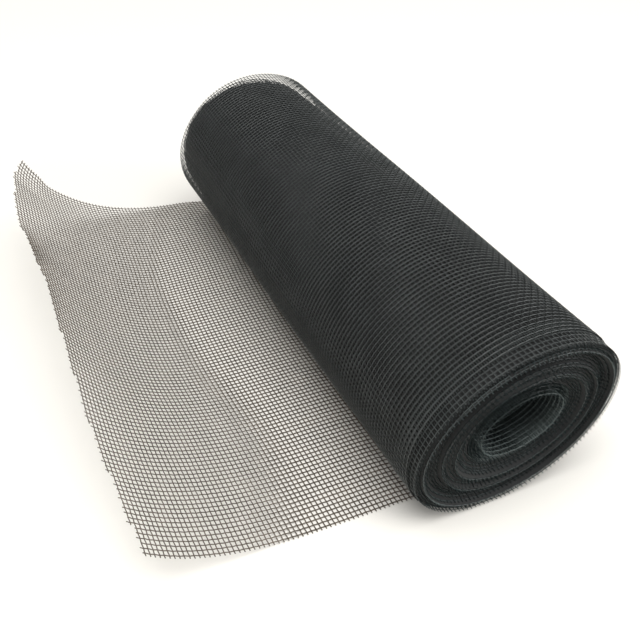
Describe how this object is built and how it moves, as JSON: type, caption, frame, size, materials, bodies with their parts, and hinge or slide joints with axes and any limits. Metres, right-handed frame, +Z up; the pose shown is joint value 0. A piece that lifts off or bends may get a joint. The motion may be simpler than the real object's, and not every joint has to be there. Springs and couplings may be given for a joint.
{
  "type": "insect screen roll",
  "caption": "Loosely wound roll of dark insect screen net lying on its side, its loose end drawn out flat from underneath and curling up at the cut edge.",
  "frame": {"origin": "on the surface the roll lies on, straight below the middle of the roll's oval at mid-length, on the narrow flat strip on which the roll rests", "axes": "+Z up; +Y along the roll's axis, away from the end that faces the camera; the loose end lies on the -X side"},
  "size_m": [0.1374, 0.1936, 0.0562],
  "materials": {
    "wound_net": "satin",
    "loose_net": "satin"
  },
  "bodies": {
    "root": {"wound_roll": "wound_net", "loose_end": "loose_net"}
  },
  "joints": []
}
